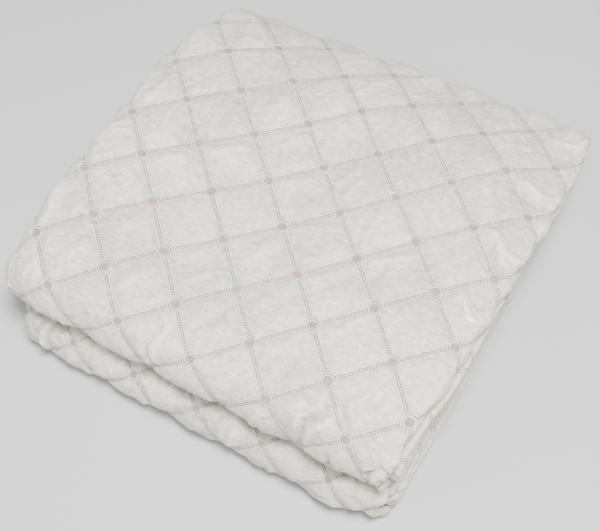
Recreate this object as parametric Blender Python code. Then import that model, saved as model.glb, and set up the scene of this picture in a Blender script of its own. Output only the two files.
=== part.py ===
"""A quilted bedspread, folded to a square stack that lies on its large flat side.

The cloth was folded across its width first, which makes a bundle of plies with a closed
fold on the left and open hems on the right. The bundle then goes back and forth in four
runs: an upper pair that turns round at the front, a lower pair that turns round at the
front below it, and one high fold at the back that joins the two pairs.

Metres, +Z up. +Y points to the high fold at the back, and the two rounded folds face -Y.
"""

import bmesh
import bpy
import numpy as np

# Quilting: square cells set on their points. A seam crossing has coordinates (u, v) in
# half diagonals, u across the stack and v along the cloth, with u + v even.
HALF_DIAGONAL = 0.045
STEPS_PER_HALF = 3
SEAM_DEPTH = 0.0055
CELL_FULLNESS = 0.42

# The folded stack
STACK_HEIGHT = 0.135
CREASE_GAP = 0.003
RUN_GAP = 0.0035
PLY_GAP = 0.0025
PLY_GAP_DEPTH = 0.120
MIDDLE_U = 5.95

# Corners of the stack as seen from above
CORNER_RADIUS = 0.036
CORNER_SHARE = 0.48
INNER_CORNER_SHARE = 0.3
CORNER_REACH_POWER = 5

# How the top lies: raised over the side folds, dished between them, lower at the front
# and, most of all at its left, along the back
SIDE_RISE = 0.010
MIDDLE_SAG = 0.002
FRONT_DROOP = 0.016
BACK_DROOP = 0.022
BACK_REACH = 0.0115
CORNER_DROOP = 0.012
ROLL_DROOP = 0.013
RIPPLE = 0.0018

pair_height = (STACK_HEIGHT - CREASE_GAP) / 2
run_thickness = (pair_height - RUN_GAP) / 2
front_radius = pair_height / 2
back_radius = STACK_HEIGHT / 2
double_ply = (run_thickness - PLY_GAP) / 2

# The section, in order along the cloth. Columns: name, shape, lattice v at its start and
# end, whether its quilting shows. Runs are level, turns are half circles. The top run
# starts at y = TOP_FRONT.
TOP_FRONT = -0.349
SECTION = (
    ("upper_inner_run", "run", -18.9, -10.0, False),
    ("upper_front_turn", "turn", -10.0, -7.65, True),
    ("top_run", "run", -7.65, 1.333, True),
    ("back_turn", "turn", 1.333, 6.0, True),
    ("bottom_run", "run", 6.0, 14.185, False),
    ("lower_front_turn", "turn", 14.185, 16.518, True),
    ("lower_inner_run", "run", 16.518, 25.3, False),
)

# Where the sides of the bundle end, in half diagonals across the stack. Columns: lattice
# v, the closed fold on the left, the first ply pair on the right, the hems on the right,
# how far the cells spread across (under 1 where the cloth is pushed together), and how
# far they lie off to the right.
SIDES = (
    (-18.9, 0.90, 11.20, 11.32, 0.94, 0.0),
    (-10.1, 0.86, 11.18, 11.28, 0.95, 0.0),
    (-7.75, 0.66, 11.16, 11.28, 0.985, 0.0),
    (-5.4, 0.54, 11.24, 11.40, 1.00, 0.0),
    (-3.8, 0.54, 11.18, 11.38, 1.00, 0.0),
    (-1.0, 0.46, 11.34, 11.56, 1.00, 0.0),
    (1.333, 0.74, 11.44, 11.60, 1.00, 0.0),
    (6.0, 1.02, 11.30, 11.44, 0.95, 0.0),
    (14.185, 1.08, 11.14, 11.22, 0.88, 0.3),
    (16.518, 1.06, 11.16, 11.26, 0.88, 0.3),
    (25.3, 1.00, 11.20, 11.32, 0.92, 0.3),
)

# Steps between rows where no quilting shows, in half diagonals
HIDDEN_STEP = 1.5

# Columns of the ring round the bundle
FIRST_U = 1.0
LAST_U = 11.0
FOLD_STEPS = 6
NOSE_STEPS = 4

LOWER_SET_FORWARD = 0.014
TUCK_INTO_BACK = 0.022
TUCK_CLEARANCE = 0.003


def smooth(value, low, high):
    """0 below low, 1 above high, and an S curve between them."""
    t = np.clip((value - low) / (high - low), 0.0, 1.0)
    return t * t * (3 - 2 * t)


def lattice_rows():
    """The v of each row: close where the quilting shows, and wide elsewhere."""
    rows = set()
    for _, shape, start, end, shown in SECTION:
        if shown:
            first = int(np.ceil(start * STEPS_PER_HALF - 1e-6))
            last = int(np.floor(end * STEPS_PER_HALF + 1e-6))
            rows.update(i / STEPS_PER_HALF for i in range(first, last + 1))
        else:
            count = max(2, round((end - start) / HIDDEN_STEP))
            rows.update(np.linspace(start, end, count + 1)[1 if rows else 0:])
    ordered = sorted(rows)
    kept = [ordered[0]]
    for v in ordered[1:]:
        if v - kept[-1] > 0.4 / STEPS_PER_HALF:
            kept.append(v)
    return np.array(kept)


def section_point(v):
    """The bundle's outer face at lattice coordinate v: (y, z) and its outward normal."""
    front = TOP_FRONT
    back = SECTION[2][3] * HALF_DIAGONAL
    lower_front = front - LOWER_SET_FORWARD
    name, _, start, end, _ = next(s for s in SECTION if v <= s[3] or s is SECTION[-1])
    share = (v - start) / (end - start)
    turn = np.pi * share
    if name == "upper_inner_run":
        y = back + TUCK_INTO_BACK + (front - back - TUCK_INTO_BACK) * share
        return y, pair_height + CREASE_GAP, 0.0, -1.0
    if name == "upper_front_turn":
        outward = (-np.sin(turn), -np.cos(turn))
        centre = (front, STACK_HEIGHT - front_radius)
        return (*_on_circle(centre, front_radius, outward), *outward)
    if name == "top_run":
        return front + (back - front) * share, STACK_HEIGHT, 0.0, 1.0
    if name == "back_turn":
        outward = (np.sin(turn), np.cos(turn))
        return (*_on_circle((back, back_radius), back_radius, outward), *outward)
    if name == "bottom_run":
        return back + (lower_front - back) * share, 0.0, 0.0, -1.0
    if name == "lower_front_turn":
        outward = (-np.sin(turn), -np.cos(turn))
        centre = (lower_front, front_radius)
        return (*_on_circle(centre, front_radius, outward), *outward)
    y = lower_front + (back + TUCK_INTO_BACK - lower_front) * share
    return y, pair_height, 0.0, 1.0


def _on_circle(centre, radius, outward):
    return centre[0] + radius * outward[0], centre[1] + radius * outward[1]


def thickness_share(v, y):
    """Below 1 where a free end is squeezed into the round of the high back fold."""
    inside = SECTION[0][3] < v < SECTION[-1][2]
    back = SECTION[2][3] * HALF_DIAGONAL
    if inside or y <= back:
        return 1.0
    room = back_radius - run_thickness - TUCK_CLEARANCE
    height = np.sqrt(room**2 - (y - back) ** 2) - CREASE_GAP / 2
    return min(1.0, height / run_thickness)


def corner_inset(y, front, back):
    """How far the sides draw in towards the stack's front and back corners."""
    near = np.minimum(y - front, back - y)
    depth = np.clip(1 - near / CORNER_RADIUS, 0.0, 1.0)
    return CORNER_SHARE * CORNER_RADIUS * (1 - np.sqrt(1 - depth**2))


def arc(centre, radius, first, last, steps):
    """Points (x, n) on an arc, and the length of cloth from the arc's start."""
    angles = np.radians(np.linspace(first, last, steps + 1))
    x = centre[0] + radius * np.cos(angles)
    n = centre[1] - radius * np.sin(angles)
    return x, n, radius * np.abs(angles - angles[0])


def ring(left, pair_end, hem_end, spread, drift):
    """The outline of the bundle across the stack, as (x, depth n below the face, u).

    It starts on the face at the left, goes over the right folds and the gap between the
    ply pairs, back along the inner face and round the closed fold on the left. u is not a
    number where no quilting shows.
    """
    face_u = np.arange(FIRST_U, LAST_U + 1e-6, 1 / STEPS_PER_HALF)
    face_x = (face_u - MIDDLE_U + drift) * HALF_DIAGONAL * spread
    nose = double_ply / 2
    round_x = run_thickness / 2
    left_room = min(1.0, 0.99 * (left + round_x) / face_x[0])
    right_room = min(1.0, 0.99 * (pair_end - nose) / face_x[-1])
    face_x = face_x * np.where(face_x < 0, left_room, right_room)
    gap_low = double_ply + PLY_GAP
    gap_end = pair_end - PLY_GAP_DEPTH

    nose_x, nose_n, run = arc((pair_end - nose, nose), nose, 90, -90, NOSE_STEPS)
    nose_u = LAST_U + (pair_end - nose - face_x[-1] + run) / HALF_DIAGONAL

    gap_x = np.array([0.10, 0.45]) * (gap_end - pair_end) + pair_end - nose
    gap_down_n = np.full(2, double_ply)

    hem = double_ply / 4
    hem_points = [
        (hem_end - hem, gap_low),
        (hem_end, gap_low + hem),
        (hem_end - 1.6 * hem, gap_low + 2 * hem),
        (hem_end - 0.3 * hem, gap_low + 3 * hem),
        (hem_end - 1.5 * hem, run_thickness),
    ]

    inner_x = np.linspace(hem_end - 0.03, left + round_x + 0.03, 5)
    fold_x, fold_n, run = arc((left + round_x, round_x), round_x, -90, -270, FOLD_STEPS)
    fold_u = FIRST_U - (face_x[0] - left - round_x + run[::-1]) / HALF_DIAGONAL

    none = float("nan")
    parts = [
        np.c_[face_x, np.zeros_like(face_x), face_u],
        np.c_[nose_x, nose_n, nose_u],
        np.c_[gap_x, gap_down_n, [none, none]],
        [(gap_end, run_thickness / 2, none)],
        np.c_[gap_x[::-1], gap_down_n + PLY_GAP, [none, none]],
        [(x, n, none) for x, n in hem_points],
        np.c_[inner_x, np.full(5, run_thickness), np.full(5, none)],
        np.c_[fold_x, fold_n, fold_u],
    ]
    return np.vstack(parts)


def quilt_relief(u, v):
    """How far the face sinks at (u, v): most at a seam, nothing in a cell's middle."""
    first = np.abs(np.sin(np.pi * (u + v) / 2))
    second = np.abs(np.sin(np.pi * (u - v) / 2))
    return SEAM_DEPTH * (1 - (first * second) ** CELL_FULLNESS)


def lay(points):
    """Settles the stack: the top's rise, dish and droop grow with height from the floor."""
    x, y, z = points.T
    half_width = np.abs(points[:, 0]).max()
    front, back = y.min(), y.max()
    across = x / half_width
    along = (y - front) / (back - front)
    side_hump = smooth(np.abs(across), 0.15, 0.72) * (1 - smooth(np.abs(across), 0.80, 1.05))
    crown = np.sin(np.pi * np.clip(along, 0, 1)) ** 0.7
    past = y - SECTION[2][3] * HALF_DIAGONAL
    tilt = 0.1 + smooth(past, 0.025, 0.065)
    roll = smooth(across, 0.62, 0.95) * np.exp(-((past + 0.040) / 0.060) ** 2)
    lift = SIDE_RISE * side_hump * crown - MIDDLE_SAG * (1 - np.abs(across)) * crown
    lift -= FRONT_DROOP * (1 - smooth(along, 0.02, 0.22)) * (0.8 - 0.2 * across)
    lift -= BACK_DROOP * smooth(past, -0.070, 0.035) * (1.0 - tilt * across)
    lift -= ROLL_DROOP * roll
    corner = smooth(np.abs(across), 0.70, 1.0) * (1 - smooth(along, 0.0, 0.22))
    lift -= CORNER_DROOP * corner
    lift += RIPPLE * np.sin(19 * x + 2.1) * np.sin(15 * y + 0.7)
    height = 1 + lift / STACK_HEIGHT
    sway = RIPPLE * np.sin(np.pi * z / STACK_HEIGHT + 11 * y)
    reached = y + BACK_REACH * smooth(past, 0.025, 0.070)
    return np.c_[x + sway * np.clip(z / pair_height, 0, 1), reached, z * height]


def stack_points():
    """The vertices of the folded bundle and how deep each lies in a seam, ring by ring."""
    rows = lattice_rows()
    sections = np.array([section_point(v) for v in rows])
    front, back = sections[:, 0].min(), sections[:, 0].max()
    table = np.array(SIDES)
    rings = []
    reliefs = []
    for v, (y, z, out_y, out_z) in zip(rows, sections):
        *ends, spread, drift = [np.interp(v, table[:, 0], table[:, k]) for k in range(1, 6)]
        left, pair_end, hem_end = [(e - MIDDLE_U) * HALF_DIAGONAL for e in ends]
        inset = corner_inset(y, front, back)
        x, n, u = ring(left, pair_end, hem_end, spread, drift).T
        shown = quilting_shows(v)
        relief = np.where(np.isnan(u), 0.0, quilt_relief(np.nan_to_num(u), v)) * shown
        inward_x, sink = fold_direction(x, n, relief, left, pair_end)
        drawn_in = inset * (1 - (1 - INNER_CORNER_SHARE) * n / run_thickness)
        x = x - drawn_in * (x / hem_end) ** CORNER_REACH_POWER
        depth = n * thickness_share(v, y) + sink
        rings.append(np.c_[x + inward_x, y - out_y * depth, z - out_z * depth])
        reliefs.append(relief)
    return np.array(rings), np.array(reliefs)


def quilting_shows(v):
    """1 where the quilting stands out, fading to 0 on the resting face and inside."""
    upper = smooth(v, -10.0, -9.4) * (1 - smooth(v, 4.4, 5.6))
    lower = smooth(v, 14.4, 15.0) * (1 - smooth(v, 16.2, 16.6))
    return upper + lower


def fold_direction(x, n, relief, left, pair_end):
    """Splits the relief into a move along x, round the side folds, and one into the stack."""
    round_left = run_thickness / 2
    round_right = double_ply / 2
    lean_left = np.clip((left + round_left - x) / round_left, 0, 1)
    lean_right = np.clip((x - pair_end + round_right) / round_right, 0, 1)
    lean = lean_left - lean_right
    level = np.sqrt(np.clip(1 - lean**2, 0, 1))
    level = np.where(n > run_thickness / 2, -level, level)
    return relief * lean, relief * level


def make_material():
    cloth = bpy.data.materials.new("quilted_cloth")
    cloth.use_nodes = True
    shader = cloth.node_tree.nodes["Principled BSDF"]
    shader.inputs["Base Color"].default_value = (0.76, 0.74, 0.69, 1.0)
    shader.inputs["Roughness"].default_value = 0.78
    shader.inputs["Metallic"].default_value = 0.0
    return cloth


def make_bedspread():
    """Joins the rings into one closed solid, with an end face at each free end."""
    rings, reliefs = stack_points()
    row_count, column_count, _ = rings.shape
    points = lay(rings.reshape(-1, 3))
    low, high = points.min(axis=0), points.max(axis=0)
    points -= [(low[0] + high[0]) / 2, (low[1] + high[1]) / 2, 0.0]

    shape = bmesh.new()
    vertices = [shape.verts.new(p) for p in points]
    grid = [vertices[r * column_count:(r + 1) * column_count] for r in range(row_count)]
    for r in range(row_count - 1):
        for c in range(column_count):
            d = (c + 1) % column_count
            corners = (grid[r][c], grid[r][d], grid[r + 1][d], grid[r + 1][c])
            rising = reliefs[r, c] + reliefs[r + 1, d]
            falling = reliefs[r, d] + reliefs[r + 1, c]
            first = 0 if rising >= falling else 1
            for k in (first, first + 2):
                shape.faces.new((corners[k], corners[(k + 1) % 4], corners[(k + 2) % 4]))
    shape.faces.new(grid[0][::-1])
    shape.faces.new(grid[-1])
    bmesh.ops.recalc_face_normals(shape, faces=shape.faces)
    bmesh.ops.triangulate(shape, faces=shape.faces)

    mesh = bpy.data.meshes.new("bedspread")
    shape.to_mesh(mesh)
    shape.free()
    mesh.materials.append(make_material())
    mesh.shade_smooth()
    mesh.set_sharp_from_angle(angle=np.radians(50))
    bedspread = bpy.data.objects.new("bedspread", mesh)
    bpy.context.scene.collection.objects.link(bedspread)
    return bedspread


for old in list(bpy.data.objects):
    bpy.data.objects.remove(old)
make_bedspread()
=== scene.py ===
"""A folded, diamond-quilted bedspread, dressed over its CAD frame.

The real cloth is one rectangle of quilted fabric. It was folded in half twice across its
width, which gives a bundle of four plies, and the bundle then goes back and forth in four
runs. Here the same cloth is built again as a thin, puffed sheet that follows those folds,
with its seams, puckers, creases and hems.

Row frame: metres, +Z up, -Y the front with the two rounded folds, +Y the high back fold,
+X the side with the hems, -X the side with the closed folds.
"""

import logging
import math
from dataclasses import dataclass, field
from enum import Enum

import bpy
import numpy as np
from mathutils import Matrix


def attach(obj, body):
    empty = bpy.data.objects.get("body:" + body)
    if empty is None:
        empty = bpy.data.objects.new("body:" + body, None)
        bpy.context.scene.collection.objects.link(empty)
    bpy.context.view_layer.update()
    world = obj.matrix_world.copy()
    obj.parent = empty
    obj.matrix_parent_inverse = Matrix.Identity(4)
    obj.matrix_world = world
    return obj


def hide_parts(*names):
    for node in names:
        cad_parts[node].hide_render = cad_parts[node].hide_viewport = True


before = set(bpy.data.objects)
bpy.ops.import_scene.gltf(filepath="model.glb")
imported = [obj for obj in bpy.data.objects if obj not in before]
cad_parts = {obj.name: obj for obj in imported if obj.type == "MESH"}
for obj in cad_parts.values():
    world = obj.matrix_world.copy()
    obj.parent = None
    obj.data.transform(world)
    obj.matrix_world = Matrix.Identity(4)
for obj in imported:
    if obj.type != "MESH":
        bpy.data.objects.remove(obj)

LOG = logging.getLogger("bedspread")
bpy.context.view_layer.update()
Array = np.ndarray


def smooth(value: Array, low: float, high: float) -> Array:
    """An S curve from 0 at low to 1 at high.

    Args:
        value: where the curve is read.
        low: the curve is 0 up to here.
        high: the curve is 1 from here on.

    Returns:
        The curve's height at each value.
    """
    t = np.clip((value - low) / (high - low), 0.0, 1.0)
    return t * t * (3.0 - 2.0 * t)


def soft_table(at: Array, knots: Array, values: Array) -> Array:
    """Reads a table with an S curve between its rows, so the result has no corners.

    Args:
        at: where the table is read.
        knots: the table's rising first column.
        values: the column to read.

    Returns:
        The eased value at each place.
    """
    index = np.clip(np.searchsorted(knots, at) - 1, 0, len(knots) - 2)
    share = smooth((at - knots[index]) / (knots[index + 1] - knots[index]), 0.0, 1.0)
    return values[index] + (values[index + 1] - values[index]) * share


def hashed(x: Array, y: Array, seed: float) -> Array:
    """A repeatable value from 0 to 1 for each pair of whole numbers: the fraction of a large sine."""
    return np.modf(np.abs(np.sin(x * 127.1 + y * 311.7 + seed * 74.7) * 43758.5453))[0]


def soft_noise(x: Array, y: Array, seed: float) -> Array:
    """Smooth noise from 0 to 1: hashed corner values of a unit grid, blended by S curves.

    Args:
        x: first coordinate, one grid cell to a unit.
        y: second coordinate.
        seed: picks another field of noise.

    Returns:
        The noise at each point.
    """
    left, low = np.floor(x), np.floor(y)
    fx, fy = smooth(x - left, 0.0, 1.0), smooth(y - low, 0.0, 1.0)
    bottom = hashed(left, low, seed) * (1 - fx) + hashed(left + 1, low, seed) * fx
    top = hashed(left, low + 1, seed) * (1 - fx) + hashed(left + 1, low + 1, seed) * fx
    return bottom * (1 - fy) + top * fy


class Side(Enum):
    """The two sides of the cloth."""

    FACE = 1
    BACK = -1


@dataclass(frozen=True)
class Quilting:
    """The quilted diamonds, in the flat cloth's own coordinates.

    A place in the cloth is (u, v), in half diagonals of a diamond: u across the stack, v
    along the cloth. Seams cross where u and v are whole numbers with an even sum.
    """

    half_diagonal: float = 0.045
    rise: float = 0.0050
    seam_half_width: float = 0.0016
    roundness: float = 3.0
    squareness: float = 3.5
    back_rise: float = 0.0016
    wrinkle_height: float = 0.0039
    fine_height: float = 0.0021
    pucker_height: float = 0.00065
    pucker_pitch: float = 0.0105
    pucker_reach: float = 0.0085
    unevenness: float = 0.0024

    @property
    def cell_side(self) -> float:
        """The side of a diamond, from seam to seam."""
        return self.half_diagonal * math.sqrt(2.0)

    def cell(self, u: Array, v: Array) -> tuple[Array, Array]:
        """Coordinates along the two seam directions, whole numbers on the seams."""
        return (u + v) / 2, (u - v) / 2

    def dome(self, u: Array, v: Array) -> Array:
        """0 in the seams and 1 in the middle of a diamond.

        For each seam direction the share t of the way from the seam to the middle gives
        1 - (1 - t) ** roundness. The dome is a soft minimum of the two, which keeps the
        diamond's corners: (a ** -p + b ** -p - 1) ** (-1 / p), with p the squareness.
        """
        band = self.seam_half_width / (self.cell_side / 2)
        shares = []
        for c in self.cell(u, v):
            t = np.clip((np.abs(c - np.round(c)) * 2 - band) / (1 - band), 0.0, 1.0)
            shares.append(np.maximum(1 - (1 - t) ** self.roundness, 1e-3))
        p = self.squareness
        return (shares[0] ** -p + shares[1] ** -p - 1) ** (-1 / p)

    def wrinkles(self, u: Array, v: Array, dome: Array) -> Array:
        """Soft ridges in each diamond, turned its own way, in metres above the dome.

        Smooth noise stretched along the diamond's own angle is folded at its middle value,
        which leaves narrow ridges, and fades out at the seams.
        """
        a, b = (np.floor(c) for c in self.cell(u, v))
        angle = math.pi * (0.15 + 0.5 * hashed(a, b, 3.0))
        along = u * np.cos(angle) + v * np.sin(angle)
        across = v * np.cos(angle) - u * np.sin(angle)
        broad = 1 - np.abs(2 * soft_noise(along * 0.6 + 9 * a, across * 2.1 + 5 * b, 5.0) - 1)
        fine = 1 - np.abs(2 * soft_noise(along * 1.3 + 7 * b, across * 4.6 + 3 * a, 8.0) - 1)
        strength = 0.5 + hashed(a, b, 11.0)
        raised = self.wrinkle_height * (broad**3 - 0.3) + self.fine_height * (fine**2 - 0.35)
        return raised * strength * dome

    def puckers(self, u: Array, v: Array) -> Array:
        """Small gathers square to each seam, dying away from it, in metres."""
        total = np.zeros_like(u)
        for k, c in enumerate(self.cell(u, v)):
            other = self.cell(u, v)[1 - k]
            away = np.abs(c - np.round(c)) * self.cell_side
            drift = 3.0 * soft_noise(other * 3.0, np.round(c) * 5.0, 20.0 + k)
            wave = np.sin(2 * math.pi * (other * self.cell_side / self.pucker_pitch + drift))
            total += wave * np.exp(-away / self.pucker_reach) * smooth(away, 0.0, 0.004)
        return self.pucker_height * total

    def relief(self, u: Array, v: Array) -> Array:
        """The wrinkles and gathers together, in metres above the plain domes."""
        return self.wrinkles(u, v, self.dome(u, v)) + self.puckers(u, v)

    def sink(self, u: Array, v: Array) -> Array:
        """How far the face lies below its highest level, in metres, never less than 0."""
        dome = self.dome(u, v)
        a, b = (np.floor(c) for c in self.cell(u, v))
        fullness = 0.82 + 0.30 * hashed(a, b, 1.0)
        raised = self.rise * np.minimum(dome * fullness, 1.05) + self.relief(u, v)
        raised = raised + self.unevenness * (soft_noise(u * 0.45, v * 0.45, 2.0) - 0.5) * dome
        return np.clip(self.rise - raised, -0.0006, self.rise)


@dataclass(frozen=True)
class Section:
    """The path of the bundle's outer face as it goes back and forth.

    Each stretch has a shape and its first and last v. The names are those of the folds,
    and front is the y at which the top run starts.
    """

    height: float = 0.135
    crease_gap: float = 0.003
    run_gap: float = 0.0035
    lower_set_forward: float = 0.014
    tuck_into_back: float = 0.022
    tuck_clearance: float = 0.003
    front: float = -0.349
    inner_start: float = -18.9
    upper_turn: float = -10.0
    top_start: float = -7.65
    back_start: float = 1.333
    bottom_start: float = 6.0
    lower_turn: float = 14.185
    lower_run: float = 16.518
    inner_end: float = 25.3
    unit: float = 0.045

    @property
    def pair_height(self) -> float:
        """The height of the upper or the lower pair of runs."""
        return (self.height - self.crease_gap) / 2

    @property
    def run_thickness(self) -> float:
        """The thickness of one run, four plies."""
        return (self.pair_height - self.run_gap) / 2

    @property
    def back(self) -> float:
        """Where the top run ends, in y."""
        return self.back_start * self.unit

    @property
    def ends(self) -> tuple[float, float]:
        """The least and the greatest y of the stack."""
        least = self.front - self.lower_set_forward - self.pair_height / 2
        return least, self.back + self.height / 2

    def outer(self, v: Array) -> Array:
        """The outer face at each v: columns y, z and the outward normal (ny, nz).

        Runs are level lines. Turns are half circles, read at an angle that grows evenly
        with v.
        """
        small, large = self.pair_height / 2, self.height / 2
        low_front = self.front - self.lower_set_forward
        tucked = self.back + self.tuck_into_back
        stretches = (
            (self.inner_start, self.upper_turn, "run", tucked, self.front,
             self.pair_height + self.crease_gap, -1.0),
            (self.upper_turn, self.top_start, "turn", self.front, self.height - small, small, -1.0),
            (self.top_start, self.back_start, "run", self.front, self.back, self.height, 1.0),
            (self.back_start, self.bottom_start, "turn", self.back, large, large, 1.0),
            (self.bottom_start, self.lower_turn, "run", self.back, low_front, 0.0, -1.0),
            (self.lower_turn, self.lower_run, "turn", low_front, small, small, -1.0),
            (self.lower_run, self.inner_end, "run", low_front, tucked, self.pair_height, 1.0),
        )
        out = np.zeros((len(v), 4))
        for start, end, shape, first, second, third, sign in stretches:
            here = (v >= start - 1e-9) & (v <= end + 1e-9)
            share = (v[here] - start) / (end - start)
            if shape == "run":
                y = first + (second - first) * share
                flat = np.zeros_like(y)
                out[here] = np.c_[y, flat + third, flat, flat + sign]
            else:
                ny, nz = sign * np.sin(math.pi * share), sign * np.cos(math.pi * share)
                out[here] = np.c_[first + third * ny, second + third * nz, ny, nz]
        return out

    def squeeze(self, v: Array, y: Array) -> Array:
        """Below 1 where a free end is squeezed into the round of the back fold."""
        inside = (v > self.upper_turn) & (v < self.lower_run)
        room = self.height / 2 - self.run_thickness - self.tuck_clearance
        past = np.clip(y - self.back, 0.0, 0.98 * room)
        share = (np.sqrt(room**2 - past**2) - self.crease_gap / 2) / self.run_thickness
        return np.where(inside | (y <= self.back), 1.0, np.minimum(1.0, share))


@dataclass(frozen=True)
class SideRow:
    """Where the bundle's sides lie at one v, in half diagonals across the stack.

    left is the closed fold, pair_end the folded pair of plies on the right, hem_end the
    hems below it, spread how far the diamonds reach across, under 1 where the cloth is
    pushed together, and drift how far they lie off to the right.
    """

    v: float
    left: float
    pair_end: float
    hem_end: float
    spread: float
    drift: float


SIDES = (
    SideRow(-18.9, 0.90, 11.04, 11.12, 0.94, 0.0),
    SideRow(-13.2, 0.88, 11.24, 11.34, 0.945, 0.0),
    SideRow(-10.1, 0.86, 11.16, 11.24, 0.95, 0.0),
    SideRow(-7.75, 0.66, 11.16, 11.26, 0.985, 0.0),
    SideRow(-5.4, 0.54, 11.36, 11.40, 1.00, 0.0),
    SideRow(-3.8, 0.54, 11.40, 11.38, 1.00, 0.0),
    SideRow(-1.0, 0.46, 11.54, 11.46, 1.00, 0.0),
    SideRow(1.333, 0.74, 11.60, 11.52, 1.00, 0.0),
    SideRow(6.0, 1.02, 11.24, 11.30, 0.95, 0.0),
    SideRow(11.3, 1.05, 11.24, 11.34, 0.92, 0.1),
    SideRow(14.185, 1.08, 11.26, 11.28, 0.88, 0.3),
    SideRow(16.518, 1.06, 11.24, 11.28, 0.88, 0.3),
    SideRow(19.6, 1.03, 11.24, 11.34, 0.90, 0.3),
    SideRow(25.3, 1.00, 11.04, 11.12, 0.92, 0.3),
)


@dataclass
class Columns:
    """A strip of cloth across the stack, one row for each v.

    x and n are the cloth's middle layer, n its depth below the bundle's outer face. out_x
    and out_n point from it to the cloth's face side. s is the length of cloth from the
    stack's middle line, half the thickness to either side, and rim how far the hem is.
    """

    x: Array
    n: Array
    out_x: Array
    out_n: Array
    s: Array
    half: Array
    rim: Array

    @staticmethod
    def join(parts: list["Columns"]) -> "Columns":
        """Sets strips side by side, without the column that two neighbours share."""
        kept = [parts[0]]
        for part in parts[1:]:
            kept.append(Columns(*(value[:, 1:] for value in vars(part).values())))
        names = list(vars(parts[0]))
        return Columns(*(np.concatenate([getattr(k, n) for k in kept], axis=1) for n in names))


@dataclass(frozen=True)
class Lay:
    """How the finished stack settles: sizes in metres, places as shares of the stack."""

    half_width: float = 0.2542
    side_rise: float = 0.010
    middle_sag: float = 0.002
    front_droop: float = 0.016
    back_droop: float = 0.022
    back_reach: float = 0.0115
    corner_droop: float = 0.012
    roll_droop: float = 0.013
    low_corner_pull: float = 0.015
    ripple: float = 0.0018
    middle_x: float = 0.0044
    middle_y: float = -0.1286

    def settle(self, points: Array, section: Section) -> Array:
        """Raises, dishes and droops the stack, more the higher a point lies.

        The lift is a hump over each side fold, a sag between them, and droops to the front,
        the back and the front corners. Heights are scaled by 1 + lift / stack height, so
        what touches the floor stays there.
        """
        x, y, z = points[..., 0], points[..., 1], points[..., 2]
        least, greatest = section.ends
        across = np.clip(x / self.half_width, -1.05, 1.05)
        along = (y - least) / (greatest - least)
        aside = np.abs(across)
        hump = smooth(aside, 0.15, 0.72) * (1 - smooth(aside, 0.80, 1.05))
        crown = np.sin(math.pi * np.clip(along, 0.0, 1.0)) ** 0.7
        lift = self.side_rise * hump * crown - self.middle_sag * (1 - aside) * crown
        lift = lift - self.front_droop * (1 - smooth(along, 0.02, 0.22)) * (0.8 - 0.2 * across)
        past = y - section.back
        tilt = 0.1 + smooth(past, 0.025, 0.065)
        lift = lift - self.back_droop * smooth(past, -0.070, 0.035) * (1.0 - tilt * across)
        roll = smooth(across, 0.62, 0.95) * np.exp(-(((past + 0.040) / 0.060) ** 2))
        lift = lift - self.roll_droop * roll
        corner = smooth(aside, 0.70, 1.0) * (1 - smooth(along, 0.0, 0.22))
        lift = lift - self.corner_droop * corner
        lift = lift + self.ripple * np.sin(19 * x + 2.1) * np.sin(15 * y + 0.7)
        sway = self.ripple * np.sin(math.pi * z / section.height + 11 * y)
        sway = sway * np.clip(z / section.pair_height, 0.0, 1.0)
        reached = y + self.back_reach * smooth(past, 0.025, 0.070)
        low = smooth(across, 0.70, 0.98) * (1 - smooth(along, 0.0, 0.16)) * (1 - smooth(z, 0.045, 0.070))
        reached = reached + self.low_corner_pull * low
        raised = np.maximum(z * (1 + lift / section.height), 0.0)
        moved = (x + sway - self.middle_x, reached - self.middle_y, raised)
        return np.stack(moved, axis=-1)


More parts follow.
